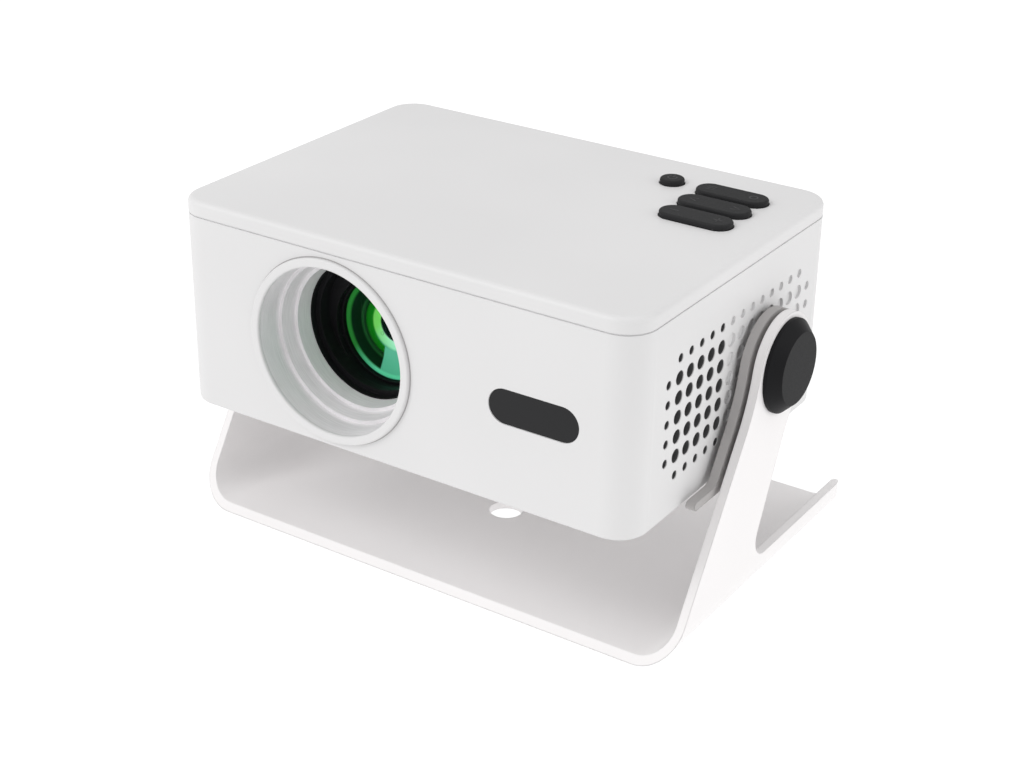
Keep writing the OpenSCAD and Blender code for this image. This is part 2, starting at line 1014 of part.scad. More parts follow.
module front_fresnel() {
    color("lightcyan")
        engine_plate(engine_at + 3, 50, engine_h - 4, 1.6);
}

module heat_glass() {
    color("lightblue")
        engine_plate(engine_at + 8, 48, engine_h - 4, 1.1);
}

module rear_fresnel() {
    color("lightcyan")
        engine_plate(engine_at + 13, 66, engine_h - 4, 1.6);
}

module condenser_lens() {
    color([0.7, 0.85, 0.85])
        on_lens_axis(engine_end - 6)
            rotate_extrude()
                intersection() {
                    translate([0, -8])
                        square([15.9, 14]);
                    translate([0, 17])
                        circle(24, $fn = 128);
                }
}

module lamp_board() {
    color("gainsboro")
        on_lens_axis(engine_end + 2)
            slab(42, 42, 1.6, 2);
}

module lamp_chip() {
    color("gold")
        on_lens_axis(engine_end + 0.8)
            slab(11, 11, 1.2, 0.8);
}

module heat_sink() {
    fins = 13;
    w = 58;
    h = 57;
    base_t = 3;
    depth = 14;
    fin_t = 1.4;
    color("lightgray")
        on_lens_axis(engine_end + 3.6) {
            slab(w, h, base_t, 1);
            for (i = [0 : fins - 1])
                translate([-w / 2 + i * (w - fin_t) / (fins - 1), -h / 2, base_t - 0.01])
                    cube([fin_t, h, depth - base_t]);
        }
}

// ---------- infrared ----------

module ir_window() {
    color([0.08, 0.08, 0.09])
        difference() {
            ir_opening(0, wall_t - 0.2);
            translate([57.2, body_front + ir_recess - 2, body_z + 37])
                cube([60, 4, 30], center = true);
        }
}

module ir_receiver() {
    color([0.05, 0.05, 0.05])
        translate([57.2, body_front + 6, body_z + 37]) {
            cube([6, 3, 7], center = true);
            translate([0, -1.4, 1])
                rotate([90, 0, 0])
                    cylinder(h = 1.5, r = 2.4);
        }
    color("seagreen")
        translate([57.2, body_front + 8.3, body_z + 37])
            cube([24, 1.6, 14], center = true);
}

// ---------- keys ----------

module long_key_places(which = [-1, 0, 1]) {
    for (i = which)
        translate([keys_x, keys_mid_y + i * key_pitch, 0])
            children();
}

// Cap with a rounded top edge, a flange under the lid and two stems
module long_key(i) {
    top = body_top + key_proud;
    e = 0.8;
    color([0.07, 0.07, 0.08])
        long_key_places([i]) {
            translate([0, 0, key_under])
                soft_pill(key_l, key_w, top - key_under, e);
            translate([0, 0, key_under])
                linear_extrude(key_flange_t)
                    pill(key_l + 2 * key_flange, key_w + 2 * key_flange);
            for (s = [-1, 1])
                translate([s * stem_at, 0, stem_end])
                    cylinder(h = stem_l + 1, r = stem_r);
        }
}

// Pill-shaped solid with a rounded top edge: straight middle with two turned ends
module soft_pill(l, w, h, e) {
    for (s = [-1, 1])
        translate([s * (l - w) / 2, 0, 0])
            rotate_extrude()
                edge_profile(w / 2, h, e);
    rotate([90, 0, 90])
        linear_extrude(l - w, center = true)
            for (m = [0, 1])
                mirror([m, 0])
                    edge_profile(w / 2, h, e);
}

module key_front() {
    long_key(-1);
}

module key_middle() {
    long_key(0);
}

module key_rear() {
    long_key(1);
}

module key_round() {
    top = body_top + key_proud;
    e = 0.8;
    r = round_key_d / 2;
    color([0.07, 0.07, 0.08])
        translate([round_key_x, round_key_y, 0]) {
            translate([0, 0, key_under])
                rotate_extrude()
                    edge_profile(r, top - key_under, e);
            translate([0, 0, key_under])
                cylinder(h = key_flange_t, r = r + key_flange);
            translate([0, 0, stem_end])
                cylinder(h = stem_l + 1, r = stem_r);
        }
}

module key_board() {
    color("seagreen")
        translate([60, keys_mid_y, key_board_z])
            slab(52, 44, board_t, 2);
}

module key_switch() {
    translate([0, 0, switch_h / 2])
        cube([switch_w, switch_w, switch_h], center = true);
    cylinder(h = switch_h + button_h, r = button_r);
}

module key_switches() {
    z = key_board_z + board_t;
    color("dimgray") {
        long_key_places()
            for (s = [-1, 1])
                translate([s * stem_at, 0, z])
                    key_switch();
        translate([round_key_x, round_key_y, z])
            key_switch();
    }
}

// ---------- boards and sockets ----------

power_x = 72.5;
video_x = 57.5;
data_x = [41, 24.5];
audio_x = 12.8;

function socket_z(h) = main_board_top + h;

module main_board() {
    w = 70;
    d = 54;
    color("seagreen")
        translate([44, socket_face - 1.4 - d / 2, main_board_z])
            difference() {
                slab(w, d, board_t, 2);
                translate([-44, -socket_face + 1.4 + d / 2, -1])
                    board_post_places()
                        cylinder(h = board_t + 2, r = 1.4);
            }
    color([0.1, 0.1, 0.1])
        for (p = [[50, -30, 16, 16], [28, -28, 12, 9], [66, -24, 9, 12]])
            translate([p[0], socket_face + p[1], main_board_top + 0.79])
                cube([p[2], p[3], 1.6], center = true);
}

module power_socket() {
    color([0.08, 0.08, 0.08])
        difference() {
            union() {
                translate([power_x, socket_face - 7.9, socket_z(5.5)])
                    cube([9.4, 13.4, 11], center = true);
                translate([power_x, socket_face, socket_z(5.5)])
                    rotate([90, 0, 0])
                        cylinder(h = 2, r = 4.2);
            }
            translate([power_x, socket_face + 1, socket_z(5.5)])
                rotate([90, 0, 0])
                    cylinder(h = 11, r = 2.85);
        }
    color("silver")
        translate([power_x, socket_face - 1, socket_z(5.5)])
            rotate([90, 0, 0])
                cylinder(h = 9.5, r = 1);
}

// Sheet-metal shell socket with a tongue, opening towards the back
module shell_socket(w, h, d, tongue_h) {
    t = 0.4;
    translate([0, -d / 2, 0])
        difference() {
            cube([w, d, h], center = true);
            translate([0, 1.5, 0])
                cube([w - 2 * t, d, h - 2 * t], center = true);
        }
    translate([0, -d / 2 - 0.5, 0])
        cube([w - 4, d - 2.4, tongue_h], center = true);
}

module video_socket() {
    color("silver")
        translate([video_x, socket_face, socket_z(3.4)]) {
            shell_socket(15, 5.8, 11, 1.6);
            translate([0, -5, -3.1])
                cube([13, 8, 0.6], center = true);
        }
}

module data_sockets() {
    color("silver")
        for (x = data_x)
            translate([x, socket_face, socket_z(3.6)]) {
                shell_socket(13.6, 6.4, 14, 1.9);
                translate([0, -7, -3.4])
                    cube([12, 10, 0.4], center = true);
            }
}

module audio_socket() {
    color([0.08, 0.08, 0.08])
        difference() {
            union() {
                translate([audio_x, socket_face - 7, socket_z(3.5)])
                    cube([7, 12, 7], center = true);
                translate([audio_x, socket_face, socket_z(3.5)])
                    rotate([90, 0, 0])
                        cylinder(h = 2, r = 3);
            }
            translate([audio_x, socket_face + 1, socket_z(3.5)])
                rotate([90, 0, 0])
                    cylinder(h = 12, r = 1.8);
        }
}

// ---------- cooling and sound ----------

module fan_frame() {
    corner = fan_size / 2 - 4;
    color([0.06, 0.06, 0.07])
        translate([fan_x, fan_y, fan_z])
            rotate([0, 90, 0]) {
                difference() {
                    slab(fan_size, fan_size, fan_t, 3);
                    translate([0, 0, -1])
                        cylinder(h = fan_t + 2, r = fan_bore_r);
                    for (x = [-1, 1], y = [-1, 1])
                        translate([x * corner, y * corner, -1])
                            cylinder(h = fan_t + 2, r = 1.6);
                }
                // spider that carries the motor
                cylinder(h = 1.4, r = hub_r);
                for (a = [45 : 90 : 315])
                    rotate(a)
                        translate([0, -1.2, 0])
                            cube([fan_bore_r + 0.5, 2.4, 1.4]);
                cylinder(h = 6, r = 1.5);
            }
}

module fan_rotor() {
    color([0.1, 0.1, 0.11])
        translate([fan_x, fan_y, fan_z])
            rotate([0, 90, 0]) {
                difference() {
                    translate([0, 0, 1.8])
                        cylinder(h = fan_t - 3, r = hub_r);
                    translate([0, 0, 1])
                        cylinder(h = 6, r = 1.56);
                }
                for (a = [0 : blade_count - 1])
                    rotate(a * 360 / blade_count)
                        translate([hub_r - 1, 0, fan_t / 2 + 0.3])
                            rotate([35, 0, 0])
                                translate([0, -5.2, -0.6])
                                    cube([blade_r - hub_r, 10.4, 1.2]);
            }
}

module dust_filter() {
    color([0.1, 0.1, 0.1])
        translate([side_x - wall_t - 1.2, fan_y, fan_z])
            rotate([0, 90, 0])
                slab(fan_size - 1, fan_size - 2, 1, 2);
}

module speaker_basket() {
    color([0.15, 0.15, 0.16])
        translate([speaker_x, speaker_y, floor_z])
            difference() {
                union() {
                    cylinder(h = 2, r = 12);
                    translate([0, 0, 1.99])
                        cylinder(h = 8, r = 10);
                    translate([0, 0, 9.98])
                        cylinder(h = 6, r = 7.5);
                }
                translate([0, 0, -1])
                    cylinder(h = 9, r = cone_r);
            }
}

module speaker_cone() {
    color([0.2, 0.2, 0.2])
        translate([speaker_x, speaker_y, floor_z + 2])
            difference() {
                cylinder(h = 4, r = cone_r);
                translate([0, 0, -0.01])
                    cylinder(h = 3, r1 = cone_r - 0.8, r2 = 3);
            }
}

stand_bracket();
arm_plate_left();
arm_plate_right();
arm_plate_screws();
base_pads();
pivot_caps();
spring_washers();
friction_washers();
pivot_bolts();
pivot_inserts();
main_housing();
top_cover();
bottom_cover();
rear_panel();
case_posts();
case_screws();
tripod_insert();
lens_bezel();
lens_liner();
lens_hood();
lens_barrel();
front_lens();
lens_spacer();
rear_lens();
rear_lens_ring();
guide_rod();
focus_screw();
focus_motor();
light_box();
lcd_panel();
front_fresnel();
rear_fresnel();
heat_glass();
condenser_lens();
lamp_board();
lamp_chip();
heat_sink();
ir_window();
ir_receiver();
key_round();
key_front();
key_middle();
key_rear();
key_board();
key_switches();
main_board();
power_socket();
video_socket();
data_sockets();
audio_socket();
fan_frame();
fan_rotor();
dust_filter();
speaker_basket();
speaker_cone();
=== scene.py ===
"""Looks of the home projector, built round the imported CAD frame. Metres, Z up, front towards -Y."""

import json
import math

import bpy
from mathutils import Matrix, Vector

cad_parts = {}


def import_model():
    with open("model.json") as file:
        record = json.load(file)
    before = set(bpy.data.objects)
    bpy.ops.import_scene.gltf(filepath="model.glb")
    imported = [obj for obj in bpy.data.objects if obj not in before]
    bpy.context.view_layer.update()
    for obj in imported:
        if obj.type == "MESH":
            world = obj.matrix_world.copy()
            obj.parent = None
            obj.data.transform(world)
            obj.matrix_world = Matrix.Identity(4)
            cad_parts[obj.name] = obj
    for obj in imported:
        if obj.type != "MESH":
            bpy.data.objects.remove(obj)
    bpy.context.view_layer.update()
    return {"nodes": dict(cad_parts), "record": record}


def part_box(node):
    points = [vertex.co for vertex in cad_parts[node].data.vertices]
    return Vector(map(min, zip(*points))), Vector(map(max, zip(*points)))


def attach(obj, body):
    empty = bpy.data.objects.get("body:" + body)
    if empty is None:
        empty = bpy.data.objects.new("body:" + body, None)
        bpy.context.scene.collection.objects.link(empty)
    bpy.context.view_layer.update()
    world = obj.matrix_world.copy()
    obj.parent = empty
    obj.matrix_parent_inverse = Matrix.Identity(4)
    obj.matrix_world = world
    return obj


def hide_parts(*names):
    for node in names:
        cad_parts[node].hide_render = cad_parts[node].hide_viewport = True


# ---------------------------------------------------------------- camera
CAMERA_PLACE = (0.354561, -0.540142, 0.373793)
CAMERA_LENS = 67.389
CAMERA_YAW = 0.581677
CAMERA_PITCH = 0.456274
CAMERA_ROLL = 0.0151389

# middle of the object, and strength of the even light from all round
LIGHT_TARGET = (0, 0, 0.09)
SURROUNDINGS = 0.72

# base colours
WHITE = (0.72, 0.715, 0.717)
BLACK = (0.008, 0.008, 0.009)
# painted shade for the insides of the side vents
HOLE_SHADE_GREY = (0.11, 0.11, 0.112)


def make_camera():
    """Camera at the product shot's angle: yaw round Z, pitch down, a slight roll."""
    yaw, pitch, roll = CAMERA_YAW, CAMERA_PITCH, CAMERA_ROLL
    back = Vector(
        (
            math.sin(yaw) * math.cos(pitch),
            -math.cos(yaw) * math.cos(pitch),
            math.sin(pitch),
        )
    )
    right = Vector((math.cos(yaw), math.sin(yaw), 0))
    up = back.cross(right)
    x_axis = right * math.cos(roll) + up * math.sin(roll)
    y_axis = up * math.cos(roll) - right * math.sin(roll)
    data = bpy.data.cameras.new("camera")
    data.lens = CAMERA_LENS
    data.sensor_width = 36
    data.clip_start = 0.01
    data.clip_end = 20
    camera = bpy.data.objects.new("camera", data)
    turn = Matrix((x_axis, y_axis, back)).transposed().to_4x4()
    camera.matrix_world = Matrix.Translation(CAMERA_PLACE) @ turn
    bpy.context.scene.collection.objects.link(camera)
    bpy.context.scene.camera = camera


# ---------------------------------------------------------------- light and floor
def area_light(name, place, side, power):
    """Square white light that looks at the middle of the object."""
    data = bpy.data.lights.new(name, "AREA")
    data.size = side
    data.energy = power
    light = bpy.data.objects.new(name, data)
    light.location = place
    aim = Vector(LIGHT_TARGET) - Vector(place)
    light.rotation_euler = aim.to_track_quat("-Z", "Y").to_euler()
    bpy.context.scene.collection.objects.link(light)


def make_light():
    """Even white surroundings, a soft key from the left front, a fill from the right, one overhead."""
    world = bpy.data.worlds.new("studio")
    world.use_nodes = True
    back = world.node_tree.nodes["Background"]
    back.inputs["Color"].default_value = (1, 1, 1, 1)
    back.inputs["Strength"].default_value = SURROUNDINGS
    bpy.context.scene.world = world
    bpy.context.scene.view_settings.view_transform = "Standard"
    area_light("key_left_front", (-0.75, -1.15, 1.25), 1.0, 10.5)
    area_light("fill_right", (1.3, 0.4, 0.6), 1.0, 4)
    area_light("overhead", (-0.1, 0.1, 1.6), 1.2, 2)


def make_floor():
    """Plain floor that shines just enough to look white right up to the object."""
    mesh = bpy.data.meshes.new("floor")
    half = 6.0
    mesh.from_pydata(
        [(-half, -half, 0), (half, -half, 0), (half, half, 0), (-half, half, 0)],
        [],
        [(0, 1, 2, 3)],
    )
    floor = bpy.data.objects.new("floor", mesh)
    bpy.context.scene.collection.objects.link(floor)
    mat, nodes, links, shader = new_material("floor_white")
    shader.inputs["Base Color"].default_value = (0.1, 0.1, 0.1, 1)
    shader.inputs["Roughness"].default_value = 0.9
    shader.inputs["Specular IOR Level"].default_value = 0.1
    shader.inputs["Emission Color"].default_value = (1, 1, 1, 1)
    shader.inputs["Emission Strength"].default_value = 1.0
    floor.data.materials.append(mat)


# ---------------------------------------------------------------- material helpers
def new_material(name):
    mat = bpy.data.materials.new(name)
    mat.use_nodes = True
    nodes, links = mat.node_tree.nodes, mat.node_tree.links
    return mat, nodes, links, nodes["Principled BSDF"]


def object_coords(nodes):
    return nodes.new("ShaderNodeTexCoord").outputs["Object"]


def noise(nodes, links, coords, scale, detail=4.0, roughness=0.5):
    node = nodes.new("ShaderNodeTexNoise")
    node.inputs["Scale"].default_value = scale
    node.inputs["Detail"].default_value = detail
    node.inputs["Roughness"].default_value = roughness
    links.new(coords, node.inputs["Vector"])
    return node.outputs["Fac"]


def colour_between(nodes, links, factor, low, high, span=(0.35, 0.65)):
    """Blend from low to high as the factor crosses the span."""
    node = nodes.new("ShaderNodeValToRGB")
    for element, place, colour in zip(node.color_ramp.elements, span, (low, high)):
        element.position = place
        element.color = (*colour, 1)
    links.new(factor, node.inputs["Fac"])
    return node.outputs["Color"]


def value_between(nodes, links, factor, low, high):
    """Number from low to high as a noise factor crosses its middle range."""
    node = nodes.new("ShaderNodeMapRange")
    node.inputs["From Min"].default_value = 0.3
    node.inputs["From Max"].default_value = 0.7
    node.inputs["To Min"].default_value = low
    node.inputs["To Max"].default_value = high
    links.new(factor, node.inputs["Value"])
    return node.outputs["Result"]


def bump(nodes, links, height, strength, distance, normal=None):
    node = nodes.new("ShaderNodeBump")
    node.inputs["Strength"].default_value = strength
    node.inputs["Distance"].default_value = distance
    links.new(height, node.inputs["Height"])
    if normal is not None:
        links.new(normal, node.inputs["Normal"])
    return node.outputs["Normal"]


def soft_edges(nodes, radius):
    """Normals that round every sharp edge off a little, as moulding and bending do."""
    node = nodes.new("ShaderNodeBevel")
    node.samples = 4
    node.inputs["Radius"].default_value = radius
    return node.outputs["Normal"]


def plastic(
    name, colour, rough=0.42, grain=2600, grain_depth=0.00004, vary=0.02, specular=0.45, edge=0.0004
):
    """Moulded plastic: a fine grain, a broad faint colour drift and a roughness that follows it."""
    mat, nodes, links, shader = new_material(name)
    coords = object_coords(nodes)
    drift = noise(nodes, links, coords, 9.0, 2.0)
    low = tuple(max(c * (1 - vary), 0) for c in colour)
    high = tuple(min(c * (1 + vary), 1) for c in colour)
    links.new(colour_between(nodes, links, drift, low, high), shader.inputs["Base Color"])
    fine = noise(nodes, links, coords, grain, 3.0)
    links.new(value_between(nodes, links, fine, rough - 0.04, rough + 0.05), shader.inputs["Roughness"])
    normal = bump(nodes, links, fine, 0.35, grain_depth, soft_edges(nodes, edge))
    links.new(normal, shader.inputs["Normal"])
    shader.inputs["Specular IOR Level"].default_value = specular
    return mat


def math_node(nodes, links, operation, first, *others):
    """Math node whose first input is a socket and whose others are sockets or numbers."""
    node = nodes.new("ShaderNodeMath")
    node.operation = operation
    links.new(first, node.inputs[0])
    for value, socket in zip(others, list(node.inputs)[1:]):
        if isinstance(value, (int, float)):
            socket.default_value = value
        else:
            links.new(value, socket)
    return node.outputs[0]


def housing_white():
    """White plastic, with painted shade just under the side walls' skin, where only the insides of the vents
    show.
    """
    mat = plastic("housing_white", WHITE)
    nodes, links = mat.node_tree.nodes, mat.node_tree.links
    low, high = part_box("main_housing")
    vent_low, vent_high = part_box("dust_filter")
    middle, half = (low + high) / 2, (high - low) / 2
    vent_middle, vent_half = (vent_low + vent_high) / 2, (vent_high - vent_low) / 2
    skin, rim = 0.0003, 0.012
    place = nodes.new("ShaderNodeSeparateXYZ")
    links.new(object_coords(nodes), place.inputs[0])
    under_skin = math_node(nodes, links, "COMPARE", place.outputs["X"], middle.x, half.x - skin)
    along = math_node(nodes, links, "COMPARE", place.outputs["Y"], vent_middle.y, vent_half.y)
    upright = math_node(nodes, links, "COMPARE", place.outputs["Z"], middle.z, half.z - rim)
    wall = math_node(nodes, links, "MULTIPLY", along, upright)
    # painted shade: the vent insides are coloured dark in place of the shade that falls in them
    dark = math_node(nodes, links, "MULTIPLY", wall, under_skin)
    base = nodes["Principled BSDF"].inputs["Base Color"]
    mixer = nodes.new("ShaderNodeMix")
    mixer.data_type = "RGBA"
    mixer.inputs["B"].default_value = (*HOLE_SHADE_GREY, 1)
    links.new(dark, mixer.inputs["Factor"])
    links.new(base.links[0].from_socket, mixer.inputs["A"])
    links.new(mixer.outputs["Result"], base)
    return mat


def metal(name, colour, rough=0.3, stretch=(1, 1, 40), scale=120, metallic=1.0):
    """Machined or brushed metal: fine lines along one direction."""
    mat, nodes, links, shader = new_material(name)
    mapping = nodes.new("ShaderNodeMapping")
    mapping.inputs["Scale"].default_value = stretch
    links.new(object_coords(nodes), mapping.inputs["Vector"])
    lines = noise(nodes, links, mapping.outputs["Vector"], scale, 3.0)
    low = tuple(c * 0.9 for c in colour)
    links.new(colour_between(nodes, links, lines, low, colour), shader.inputs["Base Color"])
    links.new(value_between(nodes, links, lines, rough - 0.06, rough + 0.08), shader.inputs["Roughness"])
    links.new(bump(nodes, links, lines, 0.15, 0.00003), shader.inputs["Normal"])
    shader.inputs["Metallic"].default_value = metallic
    return mat


def glass(name, colour, rough=0.03):
    """Polished glass with a faint surface haze."""
    mat, nodes, links, shader = new_material(name)
    coords = object_coords(nodes)
    haze = noise(nodes, links, coords, 300, 2.0)
    links.new(value_between(nodes, links, haze, rough, rough + 0.02), shader.inputs["Roughness"])
    shader.inputs["Base Color"].default_value = (*colour, 1)
    shader.inputs["Transmission Weight"].default_value = 1.0
    shader.inputs["IOR"].default_value = 1.5
    return mat


def axis_distance(nodes, links, axis):
    """Distance from the lens axis and the place across it, both in millimetres."""
    offset = nodes.new("ShaderNodeVectorMath")
    offset.operation = "SUBTRACT"
    offset.inputs[1].default_value = (axis[0], 0, axis[1])
    links.new(object_coords(nodes), offset.inputs[0])
    flat = nodes.new("ShaderNodeVectorMath")
    flat.operation = "MULTIPLY"
    flat.inputs[1].default_value = (1000, 0, 1000)
    links.new(offset.outputs[0], flat.inputs[0])
    length = nodes.new("ShaderNodeVectorMath")
    length.operation = "LENGTH"
    links.new(flat.outputs[0], length.inputs[0])
    return length.outputs["Value"], flat.outputs[0]


def ramp(nodes, links, radius, stops):
    """Colour by the radius in millimetres, from (radius, colour) pairs."""
    widest = 20.0
    node = nodes.new("ShaderNodeValToRGB")
    elements = node.color_ramp.elements
    while len(elements) < len(stops):
        elements.new(1.0)
    for element, (place, colour) in zip(elements, stops):
        element.position = place / widest
        element.color = (*colour, 1)
    links.new(math_node(nodes, links, "DIVIDE", radius, widest), node.inputs["Fac"])
    return node.outputs["Color"]


def mix_colours(nodes, links, factor, a, b):
    node = nodes.new("ShaderNodeMix")
    node.data_type = "RGBA"
    links.new(factor, node.inputs["Factor"])
    links.new(a, node.inputs["A"])
    links.new(b, node.inputs["B"])
    return node.outputs["Result"]


def between(nodes, links, value, low, high):
    """0 below low, 1 above high."""
    node = nodes.new("ShaderNodeMapRange")
    node.inputs["From Min"].default_value = low
    node.inputs["From Max"].default_value = high
    links.new(value, node.inputs["Value"])
    return node.outputs["Result"]


def lens_stack_painted_glow(name, axis):
    """Painted reflections of the coated elements behind the front glass, made to glow: rings of green that
    turn to teal on the lower right.
    """
    mat, nodes, links, shader = new_material(name)
    radius, place = axis_distance(nodes, links, axis)
    core, dark, edge = (0.001, 0.006, 0.004), (0.0004, 0.009, 0.002), (0.001, 0.01, 0.003)
    rim_green, painted_highlight_green = (0.016, 0.15, 0.024), (0.12, 0.46, 0.08)
    # painted reflections: the bright green ring from 7.1 to 9.6 mm is a painted highlight crescent
    green = ramp(
        nodes, links, radius,
        [
            (6.7, core), (7.1, (0.13, 0.50, 0.09)), (9.6, painted_highlight_green), (10.2, (0.002, 0.13, 0.004)),
            (12.2, (0.002, 0.09, 0.003)), (12.8, dark), (14.0, (0.006, 0.05, 0.012)), (14.6, dark),
            (17.4, (0.001, 0.012, 0.004)), (18.2, rim_green), (19.2, rim_green), (19.6, edge),
        ],
    )
    teal = ramp(
        nodes, links, radius,
        [
            (6.4, core), (6.9, (0.35, 0.74, 0.56)), (9.2, (0.24, 0.62, 0.42)), (10.2, (0.08, 0.36, 0.23)),
            (17.6, (0.06, 0.32, 0.19)), (18.3, (0.08, 0.46, 0.26)), (19.2, (0.07, 0.42, 0.24)),
            (19.6, (0.001, 0.02, 0.01)),
        ],
    )
    # painted reflection: the teal side is strongest towards the lower right
    lower_right = nodes.new("ShaderNodeVectorMath")
    lower_right.operation = "DOT_PRODUCT"
    lower_right.inputs[1].default_value = (0.75, 0, -0.66)
    links.new(place, lower_right.inputs[0])
    across = nodes.new("ShaderNodeSeparateXYZ")
    links.new(place, across.inputs[0])
    broad = between(nodes, links, lower_right.outputs["Value"], -5.0, 7.0)
    sharp = between(nodes, links, across.outputs["X"], -4.8, -4.4)
    off, on = (0, 0, 0), (1, 1, 1)
    dark_ring = ramp(nodes, links, radius, [(10.0, off), (10.6, on), (17.6, on), (18.2, off)])
    factor = nodes.new("ShaderNodeMix")
    factor.data_type = "FLOAT"
    links.new(dark_ring, factor.inputs["Factor"])
    links.new(broad, factor.inputs["A"])
    links.new(sharp, factor.inputs["B"])
    colour = mix_colours(nodes, links, factor.outputs["Result"], green, teal)
    links.new(colour, shader.inputs["Base Color"])
    # painted glow: the stack sends out its painted colours as light, though it is no lamp
    links.new(colour, shader.inputs["Emission Color"])
    shader.inputs["Emission Strength"].default_value = 0.7
    haze = noise(nodes, links, object_coords(nodes), 400, 2.0)
    links.new(value_between(nodes, links, haze, 0.3, 0.34), shader.inputs["Roughness"])
    shader.inputs["Specular IOR Level"].default_value = 0.02
    return mat


def lens_surface(name):
    """Clear front glass: see-through, with a green-tinted reflection that grows towards a glancing angle."""
    mat, nodes, links, shader = new_material(name)
    nodes.remove(shader)
    fresnel = nodes.new("ShaderNodeLayerWeight")
    fresnel.inputs["Blend"].default_value = 0.08
    clear = nodes.new("ShaderNodeBsdfTransparent")
    gloss = nodes.new("ShaderNodeBsdfGlossy")
    gloss.inputs["Color"].default_value = (0.35, 0.65, 0.42, 1)
    gloss.inputs["Roughness"].default_value = 0.03
    mixer = nodes.new("ShaderNodeMixShader")
    links.new(fresnel.outputs["Fresnel"], mixer.inputs[0])
    links.new(clear.outputs[0], mixer.inputs[1])
    links.new(gloss.outputs[0], mixer.inputs[2])
    links.new(mixer.outputs[0], nodes["Material Output"].inputs["Surface"])
    return mat


def circuit_board(name):
    """Green solder mask with faint tracks."""
    mat, nodes, links, shader = new_material(name)
    coords = object_coords(nodes)
    tracks = nodes.new("ShaderNodeTexBrick")
    tracks.inputs["Scale"].default_value = 180
    tracks.inputs["Mortar Size"].default_value = 0.012
    tracks.inputs["Color1"].default_value = (0.012, 0.13, 0.06, 1)
    tracks.inputs["Color2"].default_value = (0.014, 0.15, 0.07, 1)
    tracks.inputs["Mortar"].default_value = (0.04, 0.24, 0.12, 1)
    links.new(coords, tracks.inputs["Vector"])
    links.new(tracks.outputs["Color"], shader.inputs["Base Color"])
    shader.inputs["Roughness"].default_value = 0.35
    return mat


def fabric(name, colour, scale=900):
    """Open foam or pressed paper: strong small-scale relief, no shine."""
    mat, nodes, links, shader = new_material(name)
    coords = object_coords(nodes)
    cells = nodes.new("ShaderNodeTexVoronoi")
    cells.inputs["Scale"].default_value = scale
    links.new(coords, cells.inputs["Vector"])
    low = tuple(c * 0.4 for c in colour)
    links.new(
        colour_between(nodes, links, cells.outputs["Distance"], low, colour, (0.1, 0.7)),
        shader.inputs["Base Color"],
    )
    links.new(bump(nodes, links, cells.outputs["Distance"], 0.8, 0.0006), shader.inputs["Normal"])
    shader.inputs["Roughness"].default_value = 0.95
    shader.inputs["Specular IOR Level"].default_value = 0.1
    return mat


def make_materials():
    """One material for each material slot of the record."""
    return {
        "white_plastic": plastic("white_plastic", WHITE),
        "stand_white": plastic("stand_white", (0.88, 0.86, 0.86), rough=0.4, grain=1500, edge=0.0007),
        "grey_plastic": plastic("grey_plastic", (0.42, 0.405, 0.40), rough=0.5, specular=0.3, edge=0.0007),
        "black_plastic": plastic("black_plastic", BLACK, rough=0.5, vary=0.12, specular=0.12),
        "gloss_black": plastic(
            "gloss_black", BLACK, rough=0.22, grain=700, grain_depth=0.00001, vary=0.05, specular=0.28
        ),
        "key_rubber": plastic(
            "key_rubber", (0.016, 0.016, 0.017), rough=0.6, grain=1800, grain_depth=0.0001, vary=0.15,
            specular=0.22, edge=0.0009,
        ),
        "silver_trim": metal(
            "silver_trim", (0.88, 0.86, 0.875), rough=0.36, stretch=(1, 30, 1), metallic=0.15
        ),
        "steel": metal("steel", (0.6, 0.6, 0.61), rough=0.3),
        "brass": metal("brass", (0.72, 0.53, 0.24), rough=0.3),
        "coated_glass": lens_surface("coated_glass"),
        "clear_glass": glass("clear_glass", (0.9, 0.97, 0.96)),
        "board_green": circuit_board("board_green"),
        "lamp_yellow": plastic("lamp_yellow", (0.8, 0.62, 0.08), rough=0.5, grain=900),
        "heat_sink_metal": metal("heat_sink_metal", (0.68, 0.68, 0.69), rough=0.38),
        "filter_foam": fabric("filter_foam", (0.03, 0.03, 0.03)),
        "pad_foam": plastic("pad_foam", (0.6, 0.6, 0.59), rough=0.8, grain=800, grain_depth=0.0002),
        "cone_paper": fabric("cone_paper", (0.06, 0.06, 0.06), 1600),
    }


def dress_frame(frame, materials):
    """Gives every CAD node its slot's material, and the housing its own with painted shade in the vents."""
    slots = {s["node"]: s["material_slot"] for s in frame["record"]["subparts"]}
    for name, node in frame["nodes"].items():
        node.data.materials.clear()
        node.data.materials.append(materials[slots[name]])
    frame["nodes"]["main_housing"].data.materials[0] = housing_white()


# ---------------------------------------------------------------- pieces built here
def add_mesh(name, points, faces, material, body):
    """Smooth-shaded piece on a CAD body."""
    mesh = bpy.data.meshes.new(name)
    mesh.from_pydata(points, [], faces)
    mesh.validate()
    piece = bpy.data.objects.new(name, mesh)
    bpy.context.scene.collection.objects.link(piece)
    mesh.materials.append(material)
    for face in mesh.polygons:
        face.use_smooth = True
    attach(piece, body)
    return piece


def turned(name, axis, profile, material, body, steps=96):
    """Shape turned round the lens axis from (radius, y) points; radius 0 closes it in a point."""
    points, faces, rows = [], [], []
    for radius, y in profile:
        count = steps if radius > 0 else 1
        rows.append(range(len(points), len(points) + count))
        for i in range(count):
            angle = 2 * math.pi * i / steps
            points.append((axis[0] + radius * math.cos(angle), y, axis[1] + radius * math.sin(angle)))
    for a, b in zip(rows, rows[1:]):
        for i in range(steps):
            j = (i + 1) % steps
            ring = [a[i % len(a)], a[j % len(a)], b[j % len(b)], b[i % len(b)]]
            faces.append([v for k, v in enumerate(ring) if v not in ring[:k]])
    return add_mesh(name, points, faces, material, body)


def lens_axis():
    """X and Z of the lens axis, from the middle of the front glass."""
    low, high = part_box("front_lens")
    return (low.x + high.x) / 2, (low.z + high.z) / 2


